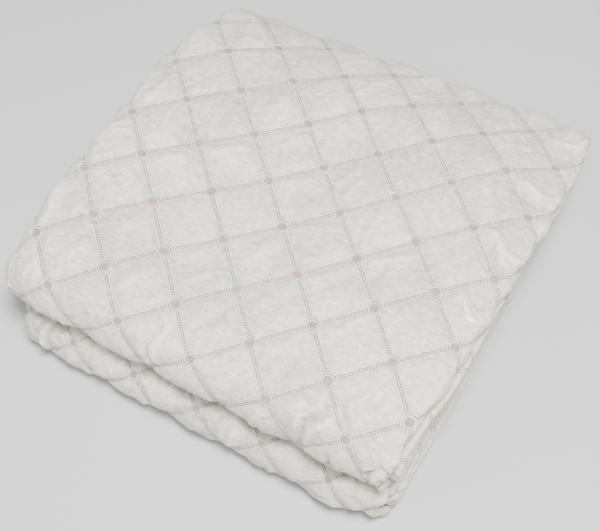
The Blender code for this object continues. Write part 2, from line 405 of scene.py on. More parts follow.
@dataclass(frozen=True)
class Bundle:
    """The four plies across the stack and their place in it."""

    section: Section = Section()
    quilting: Quilting = Quilting()
    settling: Lay = Lay()
    middle_u: float = 5.95
    ply: float = 0.0068
    ply_gap: float = 0.0025
    inner_fold_inset: float = 0.0020
    hem_ply: float = 0.0034
    hem_depth: float = 0.016
    hem_waver: float = 0.0022
    corner_radius: float = 0.036
    corner_share: float = 0.48
    inner_corner_share: float = 0.3
    corner_power: int = 5

    @property
    def unit(self) -> float:
        """Half a diamond's diagonal."""
        return self.quilting.half_diagonal

    def levels(self) -> tuple[float, float, float, float]:
        """The depth of each ply's middle layer below the bundle's outer face."""
        double = (self.section.run_thickness - self.ply_gap) / 2
        first = self.ply / 2
        second = double - self.ply / 2
        return first, second, second + self.ply + self.ply_gap, self.section.run_thickness - first

    def side(self, v: Array, name: str) -> Array:
        """A column of the side table at each v; the sides come back in metres of x."""
        knots = np.array([row.v for row in SIDES])
        values = np.array([getattr(row, name) for row in SIDES])
        read = soft_table(v, knots, values)
        return read if name in ("spread", "drift") else (read - self.middle_u) * self.unit

    def straight(
        self, first: Array, last: Array, level: float, out_n: float, s: Array, shares: Array
    ) -> Columns:
        """A level stretch of one ply, from x = first to x = last.

        Args:
            first: x of its start, for each row.
            last: x of its end, for each row.
            level: its depth below the bundle's outer face.
            out_n: which way its face side looks, -1 up and out or 1 down and in.
            s: the cloth's length at its start, for each row.
            shares: where its columns lie, from 0 to 1.

        Returns:
            The stretch, with no hem near.
        """
        x = first[:, None] + (last - first)[:, None] * shares
        grown = np.abs(x - first[:, None])
        blank = np.zeros_like(x)
        return Columns(
            x, blank + level, blank, blank + out_n, s[:, None] + grown,
            blank + self.ply / 2, blank + 1.0,
        )

    def arc(
        self, centre: Array, level: float, radius: float, start: float, bulge: float,
        outside: Side, s: Array, s_radius: float, count: int,
    ) -> Columns:
        """A fold: half a circle about (centre, level), from one ply to the next.

        Args:
            centre: x of the circle's middle, for each row.
            level: depth of the circle's middle.
            radius: the middle layer's radius.
            start: -1 where the fold starts at its upper ply, 1 at its lower one.
            bulge: 1 where it bulges to the right, -1 to the left.
            outside: the side of the cloth that looks out of the fold.
            s: the cloth's length at its start, for each row.
            s_radius: the radius at which the cloth keeps its length.
            count: columns in it.

        Returns:
            The fold.
        """
        turn = np.linspace(0.0, math.pi, count)
        away_n = start * np.cos(turn)
        away_x = bulge * np.sin(turn)
        x = centre[:, None] + radius * away_x[None, :]
        blank = np.zeros_like(x)
        n = blank + level + radius * away_n
        sign = outside.value
        return Columns(
            x, n, blank + sign * away_x, blank + sign * away_n,
            s[:, None] + s_radius * turn[None, :], blank + self.ply / 2, blank + 1.0,
        )

    def hemmed(self, strip: Columns, edge: Array, reach: float = 0.060) -> Columns:
        """Thins a strip towards its free edge and rounds the edge.

        Half the thickness eases from the ply's to the hem's over the hem's depth, and in
        the last stretch it follows half a circle of the hem's own radius.
        """
        rim = np.clip(np.abs(edge[:, None] - strip.x), 0.0, reach)
        thin = self.hem_ply / 2
        half = thin + (self.ply / 2 - thin) * smooth(rim, self.hem_depth * 0.7, self.hem_depth * 1.6)
        stitched = np.exp(-(((rim - self.hem_depth * 0.72) / 0.0012) ** 2))
        half = half - 0.0006 * stitched
        round_share = np.clip(1 - rim / thin, 0.0, 0.97)
        strip.half = half * np.sqrt(1 - round_share**2)
        strip.rim = rim
        return strip

    def stations(self, v: Array) -> dict[str, Array]:
        """The places across the stack where plies end and folds begin, for each row."""
        first, second, third, fourth = self.levels()
        left, pair_end, hem_end = (self.side(v, k) for k in ("left", "pair_end", "hem_end"))
        outer_r = (fourth - first) / 2
        nose_r = (second - first) / 2
        inner_r = (third - second) / 2
        waver = self.hem_waver * 2
        return {
            "left": left,
            "top_from": left + outer_r + self.ply / 2,
            "top_to": pair_end - nose_r - self.ply / 2,
            "inner_at": left + self.ply + self.inner_fold_inset + inner_r + self.ply / 2,
            "hem_three": hem_end - 0.0005 + waver * (soft_noise(v * 0.7, v * 0, 31.0) - 0.5),
            "hem_four": hem_end - 0.0030 + waver * (soft_noise(v * 0.6, v * 0, 32.0) - 0.5),
        }

    def place(self, v: Array, x: Array, n: Array) -> Array:
        """Carries points (x, n) of each row to their place in the settled stack."""
        section = self.section
        y, z, out_y, out_z = (section.outer(v)[:, k, None] for k in range(4))
        depth = np.where(n > 0, n * section.squeeze(v, y[:, 0])[:, None], n)
        least, greatest = section.ends
        near = np.minimum(y - least, greatest - y)
        corner = np.clip(1 - near / self.corner_radius, 0.0, 1.0)
        inset = self.corner_share * self.corner_radius * (1 - np.sqrt(1 - corner**2))
        drawn = inset * (1 - (1 - self.inner_corner_share) * n / section.run_thickness)
        hem_end = self.side(v, "hem_end")[:, None]
        moved = x - drawn * (x / hem_end) ** self.corner_power
        points = np.stack([moved, y - out_y * depth, z - out_z * depth], axis=-1)
        return self.settling.settle(points, section)


@dataclass(frozen=True)
class Crease:
    """One listed crease: a soft trough, or a ridge where depth is under 0.

    It runs from (u, v) to (u_to, v_to) in the cloth and dies away at both ends.
    """

    u: float
    v: float
    u_to: float
    v_to: float
    width: float
    depth: float

    def sink(self, u: Array, v: Array, unit: float) -> Array:
        """The crease's depth at each point: a bell across it, a sine along it."""
        run = np.array([self.u_to - self.u, self.v_to - self.v])
        length = math.hypot(*run)
        along = ((u - self.u) * run[0] + (v - self.v) * run[1]) / length**2
        across = ((v - self.v) * run[0] - (u - self.u) * run[1]) / length * unit
        taper = np.sin(math.pi * np.clip(along, 0.0, 1.0)) ** 0.8
        bend = 0.10 * unit * np.sin(2.6 * math.pi * along)
        return self.depth * taper * np.exp(-(((across - bend) / self.width) ** 2))


CREASES = (
    # The pinch low on the upper front fold, with the folds that run into it.
    Crease(9.35, -7.1, 9.00, -9.0, 0.0034, 0.0050),
    Crease(9.55, -7.3, 9.15, -9.0, 0.0032, -0.0030),
    Crease(9.10, -7.2, 8.85, -8.8, 0.0034, -0.0030),
    Crease(8.45, -8.3, 8.90, -9.2, 0.0035, 0.0030),
    Crease(9.74, -6.6, 9.64, -7.8, 0.0030, 0.0045),
    Crease(9.70, -7.5, 10.40, -6.8, 0.0040, 0.0020),
    Crease(9.70, -9.4, 9.90, -8.5, 0.0026, 0.0055),
    # The rolled right end of the upper front fold.
    Crease(10.80, -8.0, 10.92, -8.9, 0.0024, 0.0055),
    Crease(10.98, -8.30, 11.35, -8.00, 0.0024, 0.0055),
    Crease(10.95, -8.0, 11.30, -7.7, 0.0034, -0.0010),
    Crease(11.05, -8.6, 11.50, -8.5, 0.0030, 0.0040),
    # The right end of the lower front fold.
    Crease(11.85, 14.2, 12.05, 15.2, 0.0026, 0.0030),
    Crease(10.60, 15.8, 11.80, 15.5, 0.0040, 0.0025),
    Crease(10.90, 15.1, 11.90, 14.9, 0.0040, 0.0020),
    # Pleats along the lower front fold, from the left.
    Crease(0.95, 16.7, 0.85, 15.0, 0.0034, 0.0055),
    Crease(1.15, 16.7, 1.08, 14.9, 0.0034, -0.0035),
    Crease(1.32, 16.7, 1.25, 15.2, 0.0030, 0.0055),
    Crease(1.62, 16.6, 1.55, 15.5, 0.0034, 0.0030),
    Crease(3.40, 16.6, 3.46, 15.4, 0.0022, -0.0035),
    Crease(3.58, 16.6, 3.64, 15.5, 0.0022, -0.0035),
    # Soft folds at the middle of the upper front fold.
    Crease(4.85, -7.4, 5.15, -8.8, 0.0026, 0.0030),
    Crease(5.05, -7.4, 5.30, -8.7, 0.0026, -0.0030),
    Crease(5.25, -7.6, 5.45, -8.8, 0.0026, 0.0020),
    Crease(5.75, -7.6, 6.15, -6.4, 0.0040, 0.0030),
    # Full ridges where the panels come to the right side.
    Crease(10.30, -0.25, 11.60, -0.10, 0.0048, -0.0045),
    Crease(10.35, -0.60, 11.50, -0.50, 0.0042, 0.0040),
    Crease(10.10, -1.95, 11.60, -2.40, 0.0048, -0.0045),
    Crease(10.30, -2.35, 11.50, -2.85, 0.0040, 0.0045),
    Crease(10.60, 1.55, 11.60, 2.40, 0.0050, -0.0045),
    Crease(10.30, 1.10, 11.50, 1.55, 0.0045, 0.0040),
    Crease(10.30, -3.95, 11.50, -4.30, 0.0042, -0.0040),
    # Long faint creases on the top.
    Crease(9.05, -2.90, 8.60, -3.95, 0.0034, 0.0025),
    Crease(8.58, -3.80, 8.74, -4.80, 0.0034, 0.0025),
    Crease(6.95, -1.50, 6.70, -2.75, 0.0034, 0.0020),
    Crease(8.00, -2.60, 8.95, -3.05, 0.0036, -0.0020),
    Crease(6.10, -6.30, 6.00, -7.35, 0.0038, 0.0025),
    Crease(2.30, -2.70, 2.95, -3.35, 0.0042, 0.0025),
    Crease(5.30, -1.20, 5.90, -2.10, 0.0038, 0.0020),
    Crease(7.60, -3.10, 8.60, -3.70, 0.0040, 0.0020),
)


@dataclass
class Shell:
    """Closed mesh data: points, polygons facing out and a vector per point by name."""

    points: Array
    polygons: list[list[int]]
    values: dict[str, Array]


def sewn(name: str, shells: list[Shell]) -> bpy.types.Object:
    """Makes one object of the shells, which are one cloth.

    Args:
        name: the object's name.
        shells: the closed shells, each with the same values on its points.

    Returns:
        The object, linked to the scene.
    """
    starts = np.cumsum([0] + [len(s.points) for s in shells]).tolist()
    polygons = [
        [i + first for i in polygon]
        for first, shell in zip(starts, shells) for polygon in shell.polygons
    ]
    mesh = bpy.data.meshes.new(name)
    mesh.from_pydata(np.concatenate([s.points for s in shells]), [], polygons)
    for key in shells[0].values:
        attribute = mesh.attributes.new(key, "FLOAT_VECTOR", "POINT")
        joined = np.concatenate([s.values[key] for s in shells])
        attribute.data.foreach_set("vector", joined.astype(np.float32).ravel())
    mesh.validate()
    mesh.shade_smooth()
    mesh.set_sharp_from_angle(angle=math.radians(60))
    piece = bpy.data.objects.new(name, mesh)
    bpy.context.scene.collection.objects.link(piece)
    triangles = sum(len(p) - 2 for p in polygons)
    LOG.info("%s: %d points, %d triangles", name, len(mesh.vertices), triangles)
    return piece


@dataclass
class Strip:
    """A strip of the cloth as a closed thin mesh: a face grid and a coarser back grid."""

    name: str
    bundle: Bundle
    v: Array
    columns: Columns
    face_sink: Array
    back_sink: Array
    back_step: int = 1
    deepest: float = 0.0
    # The crease mask that the material turns into painted shade and highlights.
    crease_shading: Array = field(init=False)
    u: Array = field(init=False)

    def __post_init__(self) -> None:
        """Works out u, the flat cloth's own coordinate across the stack."""
        self.crease_shading = np.zeros_like(self.columns.x)
        spread, drift = (self.bundle.side(self.v, k)[:, None] for k in ("spread", "drift"))
        self.u = self.bundle.middle_u - drift + self.columns.s / (self.bundle.unit * spread)

    @staticmethod
    def picked(count: int, step: int) -> Array:
        """Every step-th index, and always the last one."""
        return np.unique(np.r_[np.arange(0, count, step), count - 1])

    def layer(self, side: Side) -> Array:
        """The points of one side: the middle layer moved out by half the thickness."""
        c = self.columns
        sink = self.face_sink if side is Side.FACE else self.back_sink
        out = side.value * np.maximum(c.half - sink, -self.deepest * c.half)
        return self.bundle.place(self.v, c.x + c.out_x * out, c.n + c.out_n * out)

    def polygons(self, rows: Array, cols: Array) -> list[list[int]]:
        """Quads of both grids and the rim's faces, which join a fine edge to a coarse one."""
        m, n = self.columns.x.shape
        face = np.arange(m * n).reshape(m, n)
        back = m * n + np.arange(len(rows) * len(cols)).reshape(len(rows), len(cols))

        def quads(grid: Array) -> Array:
            """The grid's cells, each as four vertex numbers in order."""
            corners = (grid[:-1, :-1], grid[:-1, 1:], grid[1:, 1:], grid[1:, :-1])
            return np.stack(corners, axis=-1).reshape(-1, 4)

        result = quads(face).tolist() + quads(back)[:, ::-1].tolist()
        edges = (
            (face[0][::-1], back[0][::-1], (n - 1 - cols)[::-1]),
            (face[-1], back[-1], cols),
            (face[:, 0], back[:, 0], rows),
            (face[::-1, -1], back[::-1, -1], (m - 1 - rows)[::-1]),
        )
        for fine, coarse, picks in edges:
            for k in range(len(picks) - 1):
                run = fine[picks[k]:picks[k + 1] + 1].tolist()
                result.append(run + [int(coarse[k + 1]), int(coarse[k])])
        return result

    def shell(self) -> Shell:
        """Puts both sides into one closed shell, with the cloth's coordinates on its points."""
        rows = self.picked(self.columns.x.shape[0], self.back_step)
        cols = self.picked(self.columns.x.shape[1], self.back_step)
        pick = np.ix_(rows, cols)
        face, back = self.layer(Side.FACE), self.layer(Side.BACK)[pick]
        points = np.concatenate([face.reshape(-1, 3), back.reshape(-1, 3)])
        polygons = self.polygons(rows, cols)
        middle = polygons[len(polygons) // 3]
        a, b, _, d = (points[i] for i in middle)
        m, n = face.shape[:2]
        r, c = divmod(middle[0], n)
        inward = self.layer(Side.BACK)[r, c] - face[r, c]
        if np.dot(np.cross(b - a, d - a), inward) > 0:
            polygons = [p[::-1] for p in polygons]
        flat = [
            np.stack([self.u, np.broadcast_to(self.v[:, None], self.u.shape),
                      np.full(self.u.shape, side)], -1)
            for side in (0.0, 1.0)
        ]
        # The face's sink and the crease mask go to the material, which paints shade and highlights from
        # them; rim, in millimetres, places the hem's bump.
        sunk = np.stack([self.face_sink / self.bundle.quilting.rise, self.columns.rim * 1000,
                         self.crease_shading], -1)
        values = {
            name: np.concatenate([front.reshape(-1, 3), rear[pick].reshape(-1, 3)])
            for name, front, rear in (("cloth", flat[0], flat[1]), ("lie", sunk, sunk))
        }
        LOG.info("%s: %d points, %d faces", self.name, len(points), len(polygons))
        return Shell(points, polygons, values)


@dataclass(frozen=True)
class Stretch:
    """Rows from one v to another, a step apart, in half diagonals."""

    start: float
    end: float
    step: float


@dataclass(frozen=True)
class ClothCut:
    """The whole cloth, cut for modelling into three strips that meet inside the folds."""

    bundle: Bundle = Bundle()
    column_step: float = 0.0031
    edge_step: float = 0.0035
    hidden_step: float = 0.045
    edge_reach: float = 0.040
    meeting: float = 0.012
    face_back_step: int = 4
    face_rows: tuple[Stretch, ...] = (
        Stretch(-18.9, -10.45, 0.5),
        Stretch(-10.45, -6.2, 0.050),
        Stretch(-6.2, 2.4, 0.066),
        Stretch(2.4, 6.5, 0.095),
        Stretch(6.5, 13.85, 0.5),
        Stretch(13.85, 16.9, 0.050),
        Stretch(16.9, 25.3, 0.5),
    )
    inner_rows: tuple[Stretch, ...] = (
        Stretch(-18.9, -10.1, 0.44),
        Stretch(-10.1, -7.75, 0.15),
        Stretch(-7.75, 1.333, 0.30),
        Stretch(1.333, 6.0, 0.20),
        Stretch(6.0, 14.185, 0.44),
        Stretch(14.185, 16.518, 0.15),
        Stretch(16.518, 25.3, 0.44),
    )

    @staticmethod
    def rows(stretches: tuple[Stretch, ...]) -> Array:
        """The v of every row, each stretch divided evenly."""
        parts = [
            np.linspace(s.start, s.end, max(2, round((s.end - s.start) / s.step) + 1))[1:]
            for s in stretches
        ]
        return np.concatenate([[stretches[0].start], *parts])

    def shares(self, length: float, dense_first: bool) -> Array:
        """Shares of a ply's width: close together near its right edge, wide beyond."""
        near = np.arange(0.0, self.edge_reach, self.edge_step)
        count = max(2, round((length - self.edge_reach) / self.hidden_step))
        far = np.linspace(self.edge_reach, length, count + 1)
        share = np.r_[near, far] / length
        return share if dense_first else (1 - share)[::-1]

    def gathered(self, width: float) -> Array:
        """Shares across the outer ply: columns lie closer together towards its right end."""
        fine = np.linspace(0.0, 1.0, 2001)
        density = 1.0 + 0.6 * smooth(fine, 0.84, 0.94) + 0.2 * (1 - smooth(fine, 0.06, 0.14))
        share = np.cumsum(density) - density[0]
        wanted = np.linspace(0.0, 1.0, round(width / self.column_step * density.mean()) + 1)
        return np.interp(wanted, share / share[-1], fine)

    @staticmethod
    def shown(v: Array) -> Array:
        """1 where the outer face shows, easing to 0 on the floor and between the runs."""
        upper = smooth(v, -10.6, -9.9) * (1 - smooth(v, 5.5, 6.4))
        lower = smooth(v, 13.9, 14.7) * (1 - smooth(v, 16.5, 17.0))
        return upper + lower

    def face_strip(self) -> Strip:
        """The outer ply, with the left fold before it and the right fold after it."""
        bundle = self.bundle
        v = self.rows(self.face_rows)
        at = bundle.stations(v)
        first, second, _, fourth = bundle.levels()
        fold_r, nose_r = (fourth - first) / 2, (second - first) / 2
        fold_s, nose_s = fold_r + bundle.ply / 2, nose_r + bundle.ply / 2
        start, end = at["top_from"], at["top_to"]
        before = start - math.pi * fold_s
        past = end + math.pi * nose_s
        width = float(np.mean(end - start))
        even = self.gathered(width)
        meet = np.linspace(0.0, 1.0, 4)
        columns = Columns.join([
            bundle.straight(start + self.meeting, start, fourth, 1.0, before - self.meeting, meet),
            bundle.arc(start, (first + fourth) / 2, fold_r, 1.0, -1.0, Side.FACE, before, fold_s,
                       round(math.pi * fold_s / self.column_step) + 1),
            bundle.straight(start, end, first, -1.0, start, even),
            bundle.arc(end, (first + second) / 2, nose_r, -1.0, 1.0, Side.FACE, end, nose_s,
                       round(math.pi * nose_s / self.column_step) + 3),
            bundle.straight(end, end - self.meeting, second, 1.0, past, meet),
        ])
        strip = Strip("face", bundle, v, columns, np.zeros_like(columns.x),
                      np.zeros_like(columns.x), self.face_back_step, 0.62)
        v_grid = np.broadcast_to(v[:, None], strip.u.shape)
        sink = bundle.quilting.sink(strip.u, v_grid)
        creased = sum(crease.sink(strip.u, v_grid, bundle.unit) for crease in CREASES)
        # A mask for painted light: above 0 in crease troughs, which the material paints in shade, and
        # below 0 on wrinkle ridges, which it paints with a highlight.
        strip.crease_shading = (1.2 * creased - bundle.quilting.relief(strip.u, v_grid)) / 0.004
        sink = sink + creased
        outward = 1 - smooth(columns.out_n, 0.5, 1.0)
        strip.face_sink = np.clip(sink, -0.0042, bundle.ply * 0.8) * self.shown(v_grid) * outward
        return strip

    def pinched(self, strip: Strip) -> None:
        """Gives a hidden ply's right edge its shallow quilting, on both sides."""
        v_grid = np.broadcast_to(strip.v[:, None], strip.u.shape)
        dome = self.bundle.quilting.dome(strip.u, v_grid)
        near = 1 - smooth(strip.columns.rim, 0.032, 0.046)
        away = smooth(strip.columns.rim, 0.012, 0.022)
        strip.face_sink = self.bundle.quilting.back_rise * (1 - dome) * near * away
        strip.back_sink = strip.face_sink

    def inner_strip(self) -> Strip:
        """The second and third plies: back under the right fold, round, and out to a hem."""
        bundle = self.bundle
        v = self.rows(self.inner_rows)
        at = bundle.stations(v)
        first, second, third, _ = bundle.levels()
        nose_s = (second - first) / 2 + bundle.ply / 2
        turn_r = (third - second) / 2
        start = at["top_to"] - self.meeting
        corner, hem = at["inner_at"], at["hem_three"]
        s = at["top_to"] + math.pi * nose_s + self.meeting
        s_turn = s + start - corner
        s_back = s_turn + math.pi * turn_r
        length = float(np.mean(start - corner))
        out = bundle.hemmed(
            bundle.straight(corner, hem, third, -1.0, s_back,
                            self.hem_shares(float(np.mean(hem - corner)), False)), hem)
        columns = Columns.join([
            bundle.straight(start, corner, second, 1.0, s, self.shares(length, True)),
            bundle.arc(corner, (second + third) / 2, turn_r, -1.0, -1.0, Side.BACK, s_turn,
                       turn_r, 9),
            out,
        ])
        blank = np.zeros_like(columns.x)
        strip = Strip("inner plies", bundle, v, columns, blank, blank)
        self.pinched(strip)
        return strip

    def under_strip(self) -> Strip:
        """The fourth ply, from its hem on the right to the left fold."""
        bundle = self.bundle
        v = self.rows(self.inner_rows)
        at = bundle.stations(v)
        first, _, _, fourth = bundle.levels()
        fold_s = (fourth - first) / 2 + bundle.ply / 2
        hem, end = at["hem_four"], at["top_from"] + self.meeting
        s = at["top_from"] - math.pi * fold_s - self.meeting - (hem - end)
        shares = self.hem_shares(float(np.mean(hem - end)), True)
        columns = bundle.hemmed(bundle.straight(hem, end, fourth, 1.0, s, shares), hem)
        blank = np.zeros_like(columns.x)
        strip = Strip("under ply", bundle, v, columns, blank, blank)
        self.pinched(strip)
        return strip

    def hem_shares(self, length: float, dense_first: bool) -> Array:
        """As shares, with extra columns that round the hem's edge."""
        r = self.bundle.hem_ply / 2
        near = np.r_[0.0, 0.12 * r, 0.4 * r, r, np.arange(0.003, self.edge_reach, self.edge_step)]
        count = max(2, round((length - self.edge_reach) / self.hidden_step))
        share = np.r_[near, np.linspace(self.edge_reach, length, count + 1)] / length
        return share if dense_first else (1 - share)[::-1]

    def flat_size(self) -> tuple[float, float]:
        """The cloth's flat width and length, measured along its own folds."""
        v = np.array([-5.0])
        at = {k: float(x[0]) for k, x in self.bundle.stations(v).items()}
        first, second, third, fourth = self.bundle.levels()
        folds = math.pi * ((fourth - first) / 2 + (second - first) / 2 + (third - second) / 2)
        plies = (
            at["hem_four"] - at["top_from"] + at["top_to"] - at["top_from"]
            + at["top_to"] - at["inner_at"] + at["hem_three"] - at["inner_at"]
        )
        rows = self.rows(self.inner_rows)
        return plies + folds, float(rows[-1] - rows[0]) * self.bundle.unit


@dataclass(frozen=True)
class ClothFinish:
    """Colours and sizes of the woven face. Colours are linear, lengths in millimetres. Some colours also
    serve for painted shade and highlights.
    """

    ground: tuple[float, float, float] = (0.630, 0.599, 0.500)
    # The tint of the painted shade in seam grooves, sunk places and creases; it also darkens the random
    # clouds.
    shade: tuple[float, float, float] = (0.465, 0.432, 0.355)
    # Stitch holes and motif gaps, and the painted shade in the deepest creases.
    hole: tuple[float, float, float] = (0.090, 0.078, 0.060)
    # Light stitches and motif rims, and the painted highlight on wrinkle ridges.
    thread: tuple[float, float, float] = (0.950, 0.940, 0.910)
    motif: tuple[float, float, float] = (0.165, 0.148, 0.112)
    motif_pink: tuple[float, float, float] = (0.255, 0.155, 0.110)
    backing: tuple[float, float, float] = (0.640, 0.622, 0.565)
    roughness: float = 0.60
    thread_roughness: float = 0.42
    sheen: float = 0.18
    rung_pitch: float = 2.9
    rail_at: float = 2.35
    hole_at: float = 1.35
    # Half the width of the painted shade along each seam.
    groove_shade_half: float = 3.2
    motif_half_height: float = 6.3
    motif_half_width: float = 6.9
    motif_thread: float = 1.8
    mottle_pitch: float = 7.0


class Graph:
    """A node tree with short ways to add the nodes that a pattern needs."""

    def __init__(self, tree: bpy.types.NodeTree) -> None:
        """Keeps the tree; nodes are laid out left to right as they are made."""
        self.tree = tree
        self.count = 0

    def node(self, kind: str, **settings: object) -> bpy.types.Node:
        """Adds a node and sets its properties."""
        made = self.tree.nodes.new(kind)
        made.location = (180 * (self.count // 6), -170 * (self.count % 6))
        self.count += 1
        for name, value in settings.items():
            setattr(made, name, value)
        return made

    def feed(self, socket: bpy.types.NodeSocket, value: object) -> None:
        """Links a socket, or sets the value that an unlinked input holds."""
        if isinstance(value, bpy.types.NodeSocket):
            self.tree.links.new(value, socket)
        else:
            socket.default_value = value

    def math(self, operation: str, *values: object, clamp: bool = False) -> bpy.types.NodeSocket:
        """A Math node on sockets or numbers."""
        made = self.node("ShaderNodeMath", operation=operation, use_clamp=clamp)
        for socket, value in zip(made.inputs, values):
            self.feed(socket, value)
        return made.outputs[0]

    def ease(self, value: object, low: float, high: float) -> bpy.types.NodeSocket:
        """An S curve from 0 at low to 1 at high, which may lie below low."""
        made = self.node("ShaderNodeMapRange", interpolation_type="SMOOTHSTEP")
        self.feed(made.inputs["Value"], value)
        lowest, highest = min(low, high), max(low, high)
        self.feed(made.inputs["From Min"], lowest)
        self.feed(made.inputs["From Max"], highest)
        self.feed(made.inputs["To Min"], 0.0 if low < high else 1.0)
        self.feed(made.inputs["To Max"], 1.0 if low < high else 0.0)
        return made.outputs["Result"]

    def mix(self, share: object, first: object, second: object) -> bpy.types.NodeSocket:
        """Blends two colours."""
        made = self.node("ShaderNodeMix", data_type="RGBA")
        for index, value in ((0, share), (6, first), (7, second)):
            if isinstance(value, tuple):
                value = (*value, 1.0)
            self.feed(made.inputs[index], value)
        return made.outputs[2]

    def noise(self, vector: object, scale: float, detail: float = 2.0) -> bpy.types.NodeSocket:
        """Noise from 0 to 1 at a vector."""
        made = self.node("ShaderNodeTexNoise")
        self.feed(made.inputs["Vector"], vector)
        self.feed(made.inputs["Scale"], scale)
        self.feed(made.inputs["Detail"], detail)
        return made.outputs["Fac"]

    def vector(self, x: object, y: object, z: object) -> bpy.types.NodeSocket:
        """Joins three values into a vector."""
        made = self.node("ShaderNodeCombineXYZ")
        for socket, value in zip(made.inputs, (x, y, z)):
            self.feed(socket, value)
        return made.outputs[0]

    def split(self, vector: bpy.types.NodeSocket) -> tuple[bpy.types.NodeSocket, ...]:
        """The three parts of a vector."""
        made = self.node("ShaderNodeSeparateXYZ")
        self.feed(made.inputs[0], vector)
        return tuple(made.outputs)

    def use(self, group: bpy.types.NodeTree, **values: object) -> dict[str, bpy.types.NodeSocket]:
        """Places a node group and feeds its inputs, named with _ for a space."""
        made = self.node("ShaderNodeGroup", node_tree=group)
        for name, value in values.items():
            self.feed(made.inputs[name.replace("_", " ")], value)
        return {socket.name: socket for socket in made.outputs}


def new_group(
    name: str, inputs: dict[str, str], outputs: dict[str, str]
) -> tuple[bpy.types.NodeTree, Graph, dict[str, bpy.types.NodeSocket], bpy.types.Node]:
    """Starts a shader node group with named sockets.

    Args:
        name: the group's name.
        inputs: socket kind by input name.
        outputs: socket kind by output name.

    Returns:
        The group, its graph, its inputs by name and its output node.
    """
    group = bpy.data.node_groups.new(name, "ShaderNodeTree")
    for names, way in ((inputs, "INPUT"), (outputs, "OUTPUT")):
        for label, kind in names.items():
            group.interface.new_socket(name=label, in_out=way, socket_type=kind)
    graph = Graph(group)
    entry = graph.node("NodeGroupInput")
    result = graph.node("NodeGroupOutput")
    return group, graph, {s.name: s for s in entry.outputs if s.name}, result


VALUE = "NodeSocketFloat"
VECTOR = "NodeSocketVector"


